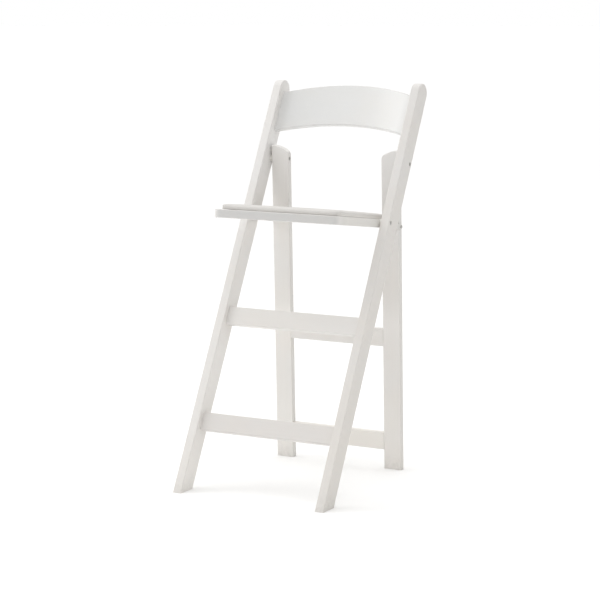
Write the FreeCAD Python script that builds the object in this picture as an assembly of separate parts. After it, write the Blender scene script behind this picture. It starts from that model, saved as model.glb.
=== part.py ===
import FreeCAD, Part
import math, os

# Folding bar stool with a padded seat.  Painted wood frame, steel pivots.
# Millimetres, +Z up, the front of the stool faces -Y, left is -X.
# The origin is on the floor under the middle of the open stool's box.

os.makedirs("parts", exist_ok=True)
V = FreeCAD.Vector

# ---------------------------------------------------------------- sizes
HEIGHT = 1070.0            # floor to the top of the posts
WIDTH = 454.0              # outside of one post to outside of the other
FRONT_TO_ORIGIN = 311.14   # front corner of the post's foot, ahead of the origin

POST_T = 25.4              # front post, across the stool
POST_W = 54.0              # front post, front face to rear face
POST_LEAN = 27.65          # degrees, the top leans back
EDGE = 2.4                 # rounding of the long wooden edges

LEG_OUT = 196.7            # rear leg, outer edge to the middle of the stool
LEG_W = 52.0               # rear leg board, across the stool
LEG_T = 19.0               # rear leg board, front face to rear face
LEG_LEAN = 1.99            # degrees, the top leans forward
LEG_TOP = 36.5             # leg above its pivot
LEG_TOP_R = 85.0           # gentle curve of the leg's top
LEG_TOP_r = 16.0           # small curve at the leg's inner corner

PIVOT_S, PIVOT_D = 990.2, 44.5       # leg pivot: along the post, behind its front face
SEATP_S, SEATP_D = 805.8, 10.5       # seat pivot: the same
LINK_DOWN = 172.7                    # link screw on the leg, below the leg pivot

STR_D0, STR_D1 = 15.6, 34.4          # front stretchers, depth in the post
STR_UP = (486.0, 536.4)              # upper front stretcher, along the post
STR_LO = (184.0, 233.4)              # lower front stretcher
RSTR_UP = (347.5, 397.3)             # upper rear stretcher, along the leg
RSTR_LO = (53.8, 103.0)              # lower rear stretcher

BACK_D = 21.0              # backrest's front face behind the post's front face, at its ends
BACK_T = 14.0
BACK_SAG = 28.7            # how far its middle is set back
BACK_S0, BACK_S1 = 1063.7, 1181.4    # lower and upper edge at its ends
BACK_ARCH0, BACK_ARCH1 = 37.0, 39.9  # rise of the lower and upper edge in the middle

SEAT_SLOPE = 7.58          # degrees, down to the rear
SEAT_HALF = 196.7
SEAT_U0, SEAT_U1 = -227.2, 98.0      # front and rear edge, from the seat pivot
SEAT_V0, SEAT_V1 = -15.0, 8.0        # underside and top of the frame
SEAT_R = 28.0              # corner in plan
RAIL_W = 48.0
REBATE = 10.0
LUG = 9.0                  # half length of solid rail left at the seat pivot
BOARD_T = 6.0
PAD_IN = 17.2              # cushion inside the frame's edge
PAD_REAR = 78.0
PAD_H = 15.0
PAD_R = 16.0
PAD_EDGE = 6.0
COVER_T = 1.2
PADBOARD_T = 4.5
PAD_TURN = 3.0             # the cover's lower edge, rounded
PAD_LIP = 18.0             # how far the cover turns in under its board
PAD_GAP = 4.0              # board's edge inside the cover's

LINK_U, LINK_V = 49.6, -8.0          # link pin on the seat rail, from the seat pivot
LINK_R = 7.0
LINK_T = 1.8

BOLT_R = 3.0
RUN = 0.06                 # radial running clearance at the pivots
GLUE = 0.04                # radial clearance of glued dowels
SCREW_R = 2.5

HALF = WIDTH / 2.0
POST_IN = HALF - POST_T
LEG_IN = LEG_OUT - LEG_W

al = math.radians(POST_LEAN)
be = math.radians(LEG_LEAN)
sg = math.radians(SEAT_SLOPE)
Y0 = -FRONT_TO_ORIGIN


# ---------------------------------------------------------------- frames
# Post frame: x, d (depth behind the front face), s (along the post).
# Leg frame: x, h (behind the leg's middle plane), b (along the leg from the floor).
# Seat frame: x, u (rearward), v (upward), zero at the seat pivot.
def post_point(x, d, s):
    return V(x, Y0 + d * math.cos(al) + s * math.sin(al), s * math.cos(al) - d * math.sin(al))


P1 = post_point(0, PIVOT_D, PIVOT_S)
P2 = post_point(0, SEATP_D, SEATP_S)
P3 = V(0, P1.y + LINK_DOWN * math.sin(be), P1.z - LINK_DOWN * math.cos(be))
LEG_FOOT_Y = P1.y + P1.z * math.tan(be)
LEG_AT_P1 = P1.z / math.cos(be)      # leg length from the floor to the pivot
LEG_AT_P3 = LEG_AT_P1 - LINK_DOWN

X_AXIS = V(1, 0, 0)
POST_FRAME = FreeCAD.Placement(V(0, Y0, 0), FreeCAD.Rotation(X_AXIS, -POST_LEAN))
LEG_FRAME = FreeCAD.Placement(V(0, LEG_FOOT_Y, 0), FreeCAD.Rotation(X_AXIS, LEG_LEAN))
SEAT_FRAME = FreeCAD.Placement(V(0, P2.y, P2.z), FreeCAD.Rotation(X_AXIS, -SEAT_SLOPE))


def place(shape, frame):
    s = shape.copy()
    s.Placement = frame.multiply(s.Placement)
    return s


def mirror(shape):
    return shape.mirror(V(0, 0, 0), V(1, 0, 0))


def box(x0, x1, y0, y1, z0, z1):
    return Part.makeBox(x1 - x0, y1 - y0, z1 - z0, V(x0, y0, z0))


def rod(r, x0, x1, y, z):
    return Part.makeCylinder(r, x1 - x0, V(x0, y, z), X_AXIS)


def face_of(edges):
    return Part.Face(Part.Wire(edges))


def line(a, b):
    return Part.makeLine(a, b)


def arc3(a, b, c):
    return Part.Arc(a, b, c).toShape()


def round_edges(shape, radius, keep):
    picked = [e for e in shape.Edges if keep(e)]
    return shape.makeFillet(radius, picked)


def solid(shape):
    shape = shape.removeSplitter()
    if shape.ShapeType != "Solid":
        assert len(shape.Solids) == 1, len(shape.Solids)
        shape = shape.Solids[0]
    assert shape.isValid()
    return shape


def on_plane(edge, axis, value):
    return all(abs(getattr(v.Point, axis) - value) < 1e-4 for v in edge.Vertexes) and \
        abs(getattr(edge.CenterOfMass, axis) - value) < 1e-3


NODES = {}


def put(name, shapes):
    NODES[name] = shapes if isinstance(shapes, list) else [shapes]


# ---------------------------------------------------------------- front posts
POST_L = (HEIGHT - POST_W / 2 + POST_W / 2 * math.sin(al)) / math.cos(al) + POST_W / 2


def make_post():
    x0, x1 = POST_IN, HALF
    w, r = POST_W, POST_W / 2
    foot = w * math.tan(al)
    a, b = V(x0, 0, 0), V(x0, 0, POST_L - r)
    c, d = V(x0, w, POST_L - r), V(x0, w, foot)
    outline = [line(a, b), arc3(b, V(x0, r, POST_L), c), line(c, d), line(d, a)]
    body = face_of(outline).extrude(V(x1 - x0, 0, 0))

    def long_edge(e):
        if not (on_plane(e, "x", x0) or on_plane(e, "x", x1)):
            return False
        # the sawn foot keeps its sharp edges
        mid = e.CenterOfMass
        return abs(mid.z - mid.y * math.tan(al)) > 5
    body = round_edges(body, EDGE, long_edge)
    cuts = []
    # the two pivot bolts pass through, their heads are sunk in the outer face
    for s, dd in ((PIVOT_S, PIVOT_D), (SEATP_S, SEATP_D)):
        cuts.append(rod(BOLT_R + 0.03, x0 - 1, x1 + 1, dd, s))
        cuts.append(rod(5.6, x1 - 4.6, x1 + 1, dd, s))
    # blind dowel holes in the inner face
    for dd, s in POST_DOWELS:
        cuts.append(rod(4.0 + GLUE, x0 - 1, x0 + 16.0, dd, s))
    cuts.append(rod(3.0 + 0.02, x0 - 1, x0 + 15.0, STOP_D, STOP_S))
    for c_ in cuts:
        body = body.cut(c_)
    return solid(body)


# stop pin: it lies on top of the side rail, behind the seat pivot
STOP_U, STOP_V = 20.0, SEAT_V1 + 3.0 + 0.3
_rel = math.radians(POST_LEAN - SEAT_SLOPE)
STOP_D = SEATP_D + STOP_U * math.cos(_rel) - STOP_V * math.sin(_rel)
STOP_S = SEATP_S + STOP_U * math.sin(_rel) + STOP_V * math.cos(_rel)

STR_MID = (STR_D0 + STR_D1) / 2
POST_DOWELS = [(STR_MID, STR_UP[0] + 13), (STR_MID, STR_UP[1] - 13),
               (STR_MID, STR_LO[0] + 13), (STR_MID, STR_LO[1] - 13),
               (BACK_D + 9.3, BACK_S0 + 30), (BACK_D + 9.3, BACK_S1 - 30)]

post = make_post()
put("right_post", place(post, POST_FRAME))
put("left_post", place(mirror(post), POST_FRAME))


# ---------------------------------------------------------------- front stretchers
def make_front_stretcher(s0, s1):
    b = box(-POST_IN, POST_IN, STR_D0, STR_D1, s0, s1)
    b = round_edges(b, EDGE, lambda e: abs(e.Vertexes[0].X - e.Vertexes[-1].X) > 10)
    for s in (s0 + 13, s1 - 13):
        b = b.cut(rod(4.0 + GLUE, POST_IN - 18, POST_IN + 1, STR_MID, s))
        b = b.cut(rod(4.0 + GLUE, -POST_IN - 1, -POST_IN + 18, STR_MID, s))
    return solid(b)


put("front_upper_stretcher", place(make_front_stretcher(*STR_UP), POST_FRAME))
put("front_lower_stretcher", place(make_front_stretcher(*STR_LO), POST_FRAME))


# ---------------------------------------------------------------- backrest
def arc_points(half, sag):
    return (V(-half, 0, 0), V(0, sag, 0), V(half, 0, 0))


def make_backrest():
    # plan: two concentric arcs, a little longer than the gap, trimmed to the posts
    h, s = POST_IN, BACK_SAG
    R = (h * h + s * s) / (2 * s)
    cy = BACK_D + s - R                       # centre of both arcs
    long_half = h + 12
    z0, z1 = BACK_S0 - 30, BACK_S1 + BACK_ARCH1 + 30

    def at(rad, x):
        return cy + math.sqrt(rad * rad - x * x)
    Ro = R + BACK_T
    f0, fm, f1 = (V(-long_half, at(R, long_half), z0), V(0, at(R, 0), z0), V(long_half, at(R, long_half), z0))
    r0, rm, r1 = (V(-long_half, at(Ro, long_half), z0), V(0, at(Ro, 0), z0), V(long_half, at(Ro, long_half), z0))
    plan = face_of([arc3(f0, fm, f1), line(f1, r1), arc3(r1, rm, r0), line(r0, f0)])
    slab = plan.extrude(V(0, 0, z1 - z0))
    slab = slab.common(box(-POST_IN, POST_IN, 0, 200, z0 - 1, z1 + 1))
    # front view: arched lower and upper edge
    a, b, c = V(-h, 0, BACK_S0), V(0, 0, BACK_S0 + BACK_ARCH0), V(h, 0, BACK_S0)
    d, e, f = V(h, 0, BACK_S1), V(0, 0, BACK_S1 + BACK_ARCH1), V(-h, 0, BACK_S1)
    front = face_of([arc3(a, b, c), line(c, d), arc3(d, e, f), line(f, a)])
    board = slab.common(front.extrude(V(0, 200, 0)))
    board = solid(board)

    def rim(e):
        # the four long edges, not the butt ends
        return e.Length > 200
    board = round_edges(board, 2.6, rim)
    for s_ in (BACK_S0 + 30, BACK_S1 - 30):
        for x0, x1 in ((POST_IN - 15, POST_IN + 1), (-POST_IN - 1, -POST_IN + 15)):
            board = board.cut(rod(4.0 + GLUE, x0, x1, BACK_D + 9.3, s_))
    return solid(board)


put("backrest", place(make_backrest(), POST_FRAME))

# dowels of the front frame: one group of equal beech pins
dowels = []
for i, (dd, s) in enumerate(POST_DOWELS):
    inner = 17.5 if i < 4 else 14.5
    d_ = rod(4.0, POST_IN - inner, POST_IN + 15.5, dd, s)
    dowels += [place(d_, POST_FRAME), place(mirror(d_), POST_FRAME)]
put("front_frame_dowels", dowels)

# stop pins, pressed into the posts over the seat's side rails
pin = rod(3.0, POST_IN - 11.9, POST_IN + 14.8, STOP_D, STOP_S)
pin = pin.makeChamfer(0.6, [e for e in pin.Edges if on_plane(e, "x", POST_IN - 11.9)])
put("seat_stop_pins", [place(pin, POST_FRAME), place(mirror(pin), POST_FRAME)])


# ---------------------------------------------------------------- rear legs
LEG_DOWELS = [RSTR_UP[0] + 13, RSTR_UP[1] - 13, RSTR_LO[0] + 13, RSTR_LO[1] - 13]


def make_leg():
    top = LEG_AT_P1 + LEG_TOP
    h0, h1 = -LEG_T / 2, LEG_T / 2
    xo, xi = LEG_OUT, LEG_IN
    R, r = LEG_TOP_R, LEG_TOP_r
    # top outline: a wide arc from the outer edge, then a small one into the inner edge
    ct = LEG_W - r
    up = math.sqrt((R - r) ** 2 - ct ** 2)
    tx, tz = ct * R / (R - r), up * R / (R - r) - R
    cz = up - R

    def P(t, z):
        return V(xo - t, h0, top + z)
    a0 = math.atan2(tz + R, tx)              # angle of the joint point seen from the wide arc's centre
    am = (a0 + math.pi / 2) / 2
    wide_mid = P(R * math.cos(am), R * math.sin(am) - R)
    b0 = math.atan2(tz - cz, tx - ct)
    small_mid = P(ct + r * math.cos(b0 / 2), cz + r * math.sin(b0 / 2))
    p0, p1, p2 = P(0, 0), P(tx, tz), P(LEG_W, cz)
    foot = -20.0
    q0, q1 = V(xi, h0, foot), V(xo, h0, foot)
    outline = [line(q1, p0), arc3(p0, wide_mid, p1), arc3(p1, small_mid, p2), line(p2, q0), line(q0, q1)]
    body = face_of(outline).extrude(V(0, LEG_T, 0))
    body = round_edges(body, EDGE, lambda e: (on_plane(e, "y", h0) or on_plane(e, "y", h1)) and e.CenterOfMass.z > 0)
    # pivot bolt across the whole board, its nut sunk in the inner edge
    body = body.cut(rod(BOLT_R + RUN, xi - 1, xo + 1, 0, LEG_AT_P1))
    body = body.cut(rod(4.0 + RUN, xi - 1, xi + 20.2, 0, LEG_AT_P1))
    body = body.cut(rod(5.5, xi - 1, xi + 3.0, 0, LEG_AT_P1))
    # link screw from the outer edge
    body = body.cut(rod(SCREW_R + 0.03, xo - 34, xo + 1, 0, LEG_AT_P3))
    for b_ in LEG_DOWELS:
        body = body.cut(rod(4.0 + GLUE, xi - 1, xi + 18.0, 0, b_))
    leg_ = place(body, LEG_FRAME)
    leg_ = leg_.cut(Part.makeBox(2000, 2000, 100, V(-1000, -1000, -100)))
    return solid(leg_)


leg = make_leg()
put("right_rear_leg", leg)
put("left_rear_leg", mirror(leg))


def make_rear_stretcher(b0, b1):
    t = LEG_T / 2 - 0.5
    b = box(-LEG_IN, LEG_IN, -t, t, b0, b1)
    b = round_edges(b, EDGE, lambda e: abs(e.Vertexes[0].X - e.Vertexes[-1].X) > 10)
    for z in (b0 + 13, b1 - 13):
        b = b.cut(rod(4.0 + GLUE, LEG_IN - 18, LEG_IN + 1, 0, z))
        b = b.cut(rod(4.0 + GLUE, -LEG_IN - 1, -LEG_IN + 18, 0, z))
    return solid(b)


put("rear_upper_stretcher", place(make_rear_stretcher(*RSTR_UP), LEG_FRAME))
put("rear_lower_stretcher", place(make_rear_stretcher(*RSTR_LO), LEG_FRAME))

dowels = []
for b_ in LEG_DOWELS:
    d_ = rod(4.0, LEG_IN - 17.5, LEG_IN + 17.5, 0, b_)
    dowels += [place(d_, LEG_FRAME), place(mirror(d_), LEG_FRAME)]
put("rear_frame_dowels", dowels)


# ---------------------------------------------------------------- pivot hardware
def make_bolt(head_x, length):
    # cylinder head with a hexagon socket, sunk in the post's outer face
    head = rod(5.0, head_x - 3.8, head_x, 0, 0)
    head = head.makeFillet(0.5, [e for e in head.Edges if on_plane(e, "x", head_x)])
    shank = rod(BOLT_R, head_x - 3.8 - length, head_x - 3.7, 0, 0)
    b = head.fuse(shank)
    pts = [V(head_x - 2.2, 2.3 * math.cos(math.radians(60 * i)), 2.3 * math.sin(math.radians(60 * i))) for i in range(7)]
    b = b.cut(Part.Face(Part.makePolygon(pts)).extrude(V(5, 0, 0)))
    b = solid(b)
    tip = [e for e in b.Edges if on_plane(e, "x", head_x - 3.8 - length)]
    return solid(b.makeChamfer(0.5, tip))


def make_nut(face_x):
    # barrel nut: flange sunk in the inner face, barrel over the bolt's end, driver slot in the flange
    flange = rod(5.0, face_x + 0.8, face_x + 2.8, 0, 0)
    flange = flange.makeFillet(0.5, [e for e in flange.Edges if on_plane(e, "x", face_x + 0.8)])
    barrel = rod(4.0, face_x + 2.7, face_x + 19.8, 0, 0)
    n = flange.fuse(barrel)
    n = n.cut(rod(BOLT_R + 0.04, face_x + 4.0, face_x + 25, 0, 0))
    n = n.cut(box(face_x + 0.5, face_x + 1.6, -0.7, 0.7, -6, 6))
    return solid(n)


def make_ring(r0, r1, x0, x1, edge=0.4):
    g = rod(r1, x0, x1, 0, 0)
    if edge:
        g = g.makeChamfer(edge, [e for e in g.Edges if e.Length > 2 * math.pi * r1 * 0.99])
    return solid(g.cut(rod(r0, x0 - 1, x1 + 1, 0, 0)))


def at_pivot(shape, p):
    s_ = shape.copy()
    s_.translate(V(0, p.y, p.z))
    return s_


def pair(shape, p, frame_angle=0.0):
    s_ = shape.copy()
    if frame_angle:
        s_.rotate(V(0, 0, 0), X_AXIS, frame_angle)
    s_ = at_pivot(s_, p)
    return [s_, mirror(s_)]


HEAD_X = HALF - 0.6                       # bolt head, just under the post's outer face
leg_bolt = make_bolt(HEAD_X, (HEAD_X - 3.8) - (LEG_IN + 6.0))
seat_bolt = make_bolt(HEAD_X, (HEAD_X - 3.8) - (SEAT_HALF - RAIL_W + 6.0))
put("leg_pivot_bolts", pair(leg_bolt, P1))
put("leg_pivot_nuts", pair(make_nut(LEG_IN), P1))
put("leg_pivot_spacers", pair(make_ring(BOLT_R + 0.1, 9.0, LEG_OUT + 0.3, POST_IN), P1))
put("seat_pivot_bolts", pair(seat_bolt, P2))
put("seat_pivot_nuts", pair(make_nut(SEAT_HALF - RAIL_W), P2))
put("seat_pivot_spacers", pair(make_ring(BOLT_R + 0.1, 9.0, SEAT_HALF + 0.3, POST_IN), P2))


# ---------------------------------------------------------------- links
# A flat steel link on each side joins the seat's side rail to the rear leg.
QU, QV = LINK_U, LINK_V
Q = V(0, P2.y + QU * math.cos(sg) + QV * math.sin(sg), P2.z - QU * math.sin(sg) + QV * math.cos(sg))
LINK_X0 = LEG_OUT + 0.6
LINK_X1 = LINK_X0 + LINK_T


def make_link():
    dy, dz = Q.y - P3.y, Q.z - P3.z
    L = math.hypot(dy, dz)
    body = box(LINK_X0, LINK_X1, 0, L, -LINK_R, LINK_R)
    body = body.fuse(rod(LINK_R, LINK_X0, LINK_X1, 0, 0)).fuse(rod(LINK_R, LINK_X0, LINK_X1, L, 0))
    body = solid(body)
    body = body.makeChamfer(0.35, [e for e in body.Edges if on_plane(e, "x", LINK_X1)])
    body = body.cut(rod(SCREW_R + RUN, LINK_X0 - 1, LINK_X1 + 1, 0, 0))
    body = body.cut(rod(SCREW_R + 0.03, LINK_X0 - 1, LINK_X1 + 1, L, 0))
    body = solid(body)
    body.rotate(V(0, 0, 0), X_AXIS, math.degrees(math.atan2(dz, dy)))
    return at_pivot(body, P3), L


link, LINK_L = make_link()
put("right_link", link)
put("left_link", mirror(link))


def make_flat_head(x_face, length, r_head=5.0, t_head=1.5):
    head = rod(r_head, x_face, x_face + t_head, 0, 0)
    head = head.makeFillet(0.6, [e for e in head.Edges if on_plane(e, "x", x_face + t_head)])
    b = head.fuse(rod(SCREW_R, x_face - length, x_face + 0.2, 0, 0))
    # cross recess
    for k in (0, 90):
        slot = box(x_face + t_head - 0.8, x_face + t_head + 1, -2.4, 2.4, -0.45, 0.45)
        slot.rotate(V(0, 0, 0), X_AXIS, k)
        b = b.cut(slot)
    return solid(b)


put("link_leg_screws", pair(make_flat_head(LINK_X1 + 0.1, LINK_X1 + 0.1 - (LEG_OUT - 33.0)), P3))
put("link_washers", pair(make_ring(SCREW_R + 0.05, 6.5, LEG_OUT, LINK_X0 - 0.1, 0), P3))
stud = make_flat_head(LINK_X1 + 0.1, LINK_X1 + 0.1 - (SEAT_HALF + 0.3))
right_stud = at_pivot(stud, Q)
put("right_link_stud", right_stud)
put("left_link_stud", mirror(right_stud))


# ---------------------------------------------------------------- seat frame
SW = SEAT_HALF
SI = SEAT_HALF - RAIL_W                   # inner edge of a side rail
FRONT_RAIL = 50.0
REAR_RAIL = 46.0
PU0, PU1 = SEAT_U0 + FRONT_RAIL - REBATE, SEAT_U1 - REAR_RAIL + REBATE   # board's opening


def seat_outline_prism(half, u0, u1, r_front, r_rear, v0, v1):
    # rounded rectangle in plan, extruded upward
    def corner(cx, cu, r, a0, a1):
        am = (a0 + a1) / 2
        p = [V(cx + r * math.cos(math.radians(t)), cu + r * math.sin(math.radians(t)), v0) for t in (a0, am, a1)]
        return p
    fr = corner(half - r_front, u0 + r_front, r_front, -90, 0)
    rr = corner(half - r_rear, u1 - r_rear, r_rear, 0, 90)
    rl = corner(-half + r_rear, u1 - r_rear, r_rear, 90, 180)
    fl = corner(-half + r_front, u0 + r_front, r_front, 180, 270)
    edges = [arc3(*fr), line(fr[2], rr[0]), arc3(*rr), line(rr[2], rl[0]), arc3(*rl), line(rl[2], fl[0]), arc3(*fl),
             line(fl[2], fr[0])]
    return face_of(edges).extrude(V(0, 0, v1 - v0))


blank = seat_outline_prism(SW, SEAT_U0, SEAT_U1, SEAT_R, 9.0, SEAT_V0, SEAT_V1)
blank = round_edges(blank, EDGE, lambda e: on_plane(e, "z", SEAT_V0) or on_plane(e, "z", SEAT_V1))
window = box(-SI, SI, SEAT_U0 + FRONT_RAIL, SEAT_U1 - REAR_RAIL, SEAT_V0 - 1, SEAT_V1 + 1)
step = box(-SI - REBATE, SI + REBATE, PU0, PU1, SEAT_V1 - BOARD_T, SEAT_V1 + 1)
# the rebate stops short of the pivot on each side, so that the bolt and nut stay in solid wood
for x0, x1 in ((SI, SI + REBATE + 1), (-SI - REBATE - 1, -SI)):
    step = step.cut(box(x0, x1, -LUG, LUG, SEAT_V1 - BOARD_T - 1, SEAT_V1 + 2))
ring = solid(blank.cut(window).cut(step))

side = ring.common(box(SI, SW + 5, SEAT_U0 - 5, SEAT_U1 + 5, SEAT_V0 - 5, SEAT_V1 + 5))
front = ring.common(box(-SI, SI, SEAT_U0 - 5, SEAT_U0 + FRONT_RAIL + 1, SEAT_V0 - 5, SEAT_V1 + 5))
rear = ring.common(box(-SI, SI, SEAT_U1 - REAR_RAIL - 1, SEAT_U1 + 5, SEAT_V0 - 5, SEAT_V1 + 5))

# seat pivot bore across the side rail, its nut sunk in the inner edge
side = side.cut(rod(BOLT_R + RUN, SI - 1, SW + 1, 0, 0))
side = side.cut(rod(4.0 + RUN, SI - 1, SI + 20.2, 0, 0))
side = side.cut(rod(5.5, SI - 1, SI + 3.0, 0, 0))
# threaded insert of the link pin
side = side.cut(rod(4.5 + 0.02, SW - 14, SW + 1, QU, QV))

SEAT_DOWELS = [(SEAT_U0 + 14, -5.0), (SEAT_U0 + 36, -5.0), (SEAT_U1 - 12, -5.0), (SEAT_U1 - 32, -5.0)]
for u, v in SEAT_DOWELS:
    side = side.cut(rod(4.0 + GLUE, SI - 1, SI + 16, u, v))
for u, v in SEAT_DOWELS[:2]:
    front = front.cut(rod(4.0 + GLUE, SI - 16, SI + 1, u, v)).cut(rod(4.0 + GLUE, -SI - 1, -SI + 16, u, v))
for u, v in SEAT_DOWELS[2:]:
    rear = rear.cut(rod(4.0 + GLUE, SI - 16, SI + 1, u, v)).cut(rod(4.0 + GLUE, -SI - 1, -SI + 16, u, v))
dowels = []
for u, v in SEAT_DOWELS:
    d_ = rod(4.0, SI - 15.5, SI + 15.5, u, v)
    dowels += [place(d_, SEAT_FRAME), place(mirror(d_), SEAT_FRAME)]
put("seat_frame_dowels", dowels)

# screws that hold the board down on the rebate, from above
BOARD_SCREWS = []
for u in (PU0 + 25, (PU0 + PU1) / 2, PU1 - 25):
    BOARD_SCREWS += [(SI + REBATE / 2, u), (-SI - REBATE / 2, u)]
for x in (-70.0, 70.0):
    BOARD_SCREWS += [(x, PU0 + REBATE / 2), (x, PU1 - REBATE / 2)]


def upright(r, x, u, v0, v1, r_top=None):
    if r_top is None:
        return Part.makeCylinder(r, v1 - v0, V(x, u, v0))
    return Part.makeCone(r, r_top, v1 - v0, V(x, u, v0))


board = box(-SI - REBATE + 0.4, SI + REBATE - 0.4, PU0 + 0.4, PU1 - 0.4, SEAT_V1 - BOARD_T, SEAT_V1)
for x0, x1 in ((SI - 0.4, SI + REBATE + 1), (-SI - REBATE - 1, -SI + 0.4)):
    board = board.cut(box(x0, x1, -LUG - 0.4, LUG + 0.4, SEAT_V1 - BOARD_T - 1, SEAT_V1 + 1))
rails = {"side": side, "front": front, "rear": rear}
screws = []
for x, u in BOARD_SCREWS:
    hole = upright(1.75, x, u, SEAT_V1 - 16.0, SEAT_V1 + 1).fuse(upright(1.75, x, u, SEAT_V1 - 2.2, SEAT_V1 + 0.01, 3.6))
    board = board.cut(hole)
    pilot = upright(1.75, x, u, SEAT_V1 - 16.0, SEAT_V1 + 1)
    if x > SI:
        rails["side"] = rails["side"].cut(pilot)
    elif abs(x) < SI and u < 0:
        rails["front"] = rails["front"].cut(pilot)
    elif abs(x) < SI:
        rails["rear"] = rails["rear"].cut(pilot)
    sc = upright(1.7, x, u, SEAT_V1 - 15.8, SEAT_V1 - 0.2).fuse(upright(1.7, x, u, SEAT_V1 - 2.2, SEAT_V1 - 0.2, 3.4))
    screws.append(place(solid(sc), SEAT_FRAME))
put("seat_board_screws", screws)

side_rail = solid(rails["side"])
put("seat_right_rail", place(side_rail, SEAT_FRAME))
put("seat_left_rail", place(mirror(side_rail), SEAT_FRAME))
put("seat_front_rail", place(solid(rails["front"]), SEAT_FRAME))
put("seat_rear_rail", place(solid(rails["rear"]), SEAT_FRAME))

insert = make_ring(SCREW_R + 0.1, 4.5, SW - 13.8, SW, 0)
ins = insert.copy()
ins.translate(V(0, QU, QV))
put("link_seat_inserts", [place(ins, SEAT_FRAME), place(mirror(ins), SEAT_FRAME)])


# ---------------------------------------------------------------- cushion
# a thin plywood base, a foam slab and a vinyl cover, fixed from below with four screws
CU0, CU1, CH = SEAT_U0 + PAD_IN, PAD_REAR, SEAT_HALF - PAD_IN
CV0, CV1 = SEAT_V1 + 0.2, SEAT_V1 + PAD_H
outer = seat_outline_prism(CH, CU0, CU1, PAD_R, PAD_R, CV0, CV1)
outer = round_edges(outer, PAD_EDGE, lambda e: on_plane(e, "z", CV1))
outer = round_edges(outer, PAD_TURN, lambda e: on_plane(e, "z", CV0))
t = COVER_T
inner = seat_outline_prism(CH - t, CU0 + t, CU1 - t, PAD_R - t, PAD_R - t, CV0 + t, CV1 - t)
inner = round_edges(inner, PAD_EDGE - t, lambda e: on_plane(e, "z", CV1 - t))
inner = round_edges(inner, PAD_TURN - t, lambda e: on_plane(e, "z", CV0 + t))
# the cover turns in under the base board, where it is stapled
turned_in = seat_outline_prism(CH - PAD_LIP, CU0 + PAD_LIP, CU1 - PAD_LIP, 12.0, 12.0, CV0 - 1, CV0 + t + 1)
cover = solid(outer.cut(inner).cut(turned_in))
put("cushion_cover", place(cover, SEAT_FRAME))

base_v0, base_v1 = CV0 + t + 0.02, CV0 + t + PADBOARD_T
base = seat_outline_prism(CH - PAD_GAP, CU0 + PAD_GAP, CU1 - PAD_GAP, PAD_R - PAD_GAP, PAD_R - PAD_GAP, base_v0, base_v1)
base = round_edges(base, 1.5, lambda e: on_plane(e, "z", base_v0))
foam = seat_outline_prism(CH - t - 0.05, CU0 + t + 0.05, CU1 - t - 0.05, PAD_R - t, PAD_R - t, base_v1, CV1 - t - 0.05)
foam = round_edges(foam, PAD_EDGE - t, lambda e: on_plane(e, "z", CV1 - t - 0.05))
CUSHION_SCREWS = [(-95.0, -130.0), (95.0, -130.0), (-95.0, 5.0), (95.0, 5.0)]
screws = []
for x, u in CUSHION_SCREWS:
    base = base.cut(upright(1.75, x, u, CV0 - 1, CV0 + 5.1))
    board = board.cut(upright(1.8, x, u, SEAT_V1 - 10, SEAT_V1 + 2))
    lo = SEAT_V1 - BOARD_T
    sc = upright(1.7, x, u, lo - 0.5, CV0 + 4.9).fuse(upright(3.6, x, u, lo - 1.9, lo))
    sc = solid(sc)
    rim_e = [e for e in sc.Edges if on_plane(e, "z", lo - 1.9)]
    sc = sc.makeFillet(0.9, rim_e)
    for k in (0, 90):
        slot = box(-1.9, 1.9, -0.4, 0.4, lo - 3, lo - 1.2)
        slot.rotate(V(0, 0, 0), V(0, 0, 1), k)
        slot.translate(V(x, u, 0))
        sc = sc.cut(slot)
    screws.append(place(solid(sc), SEAT_FRAME))
put("cushion_screws", screws)
put("cushion_base", place(solid(base), SEAT_FRAME))
put("cushion_foam", place(solid(foam), SEAT_FRAME))
put("seat_board", place(solid(board), SEAT_FRAME))

# ---------------------------------------------------------------- files
lo, hi = V(1e9, 1e9, 1e9), V(-1e9, -1e9, -1e9)
for name in sorted(NODES):
    parts = NODES[name]
    shape = parts[0] if len(parts) == 1 else Part.makeCompound(parts)
    assert shape.isValid(), name
    bb = shape.BoundBox
    lo = V(min(lo.x, bb.XMin), min(lo.y, bb.YMin), min(lo.z, bb.ZMin))
    hi = V(max(hi.x, bb.XMax), max(hi.y, bb.YMax), max(hi.z, bb.ZMax))
    shape.exportStep("parts/%s.step" % name)
    print("%-24s solids %d  volume %.0f" % (name, len(shape.Solids), sum(s.Volume for s in shape.Solids)))

print("nodes", len(NODES))
print("box", [round(v, 2) for v in (lo.x, lo.y, lo.z, hi.x, hi.y, hi.z)], "middle y", round((lo.y + hi.y) / 2, 3))


def turned(p, centre, deg):
    a = math.radians(deg)
    dy, dz = p.y - centre.y, p.z - centre.z
    return V(p.x, centre.y + dy * math.cos(a) - dz * math.sin(a), centre.z + dy * math.sin(a) + dz * math.cos(a))


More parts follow.
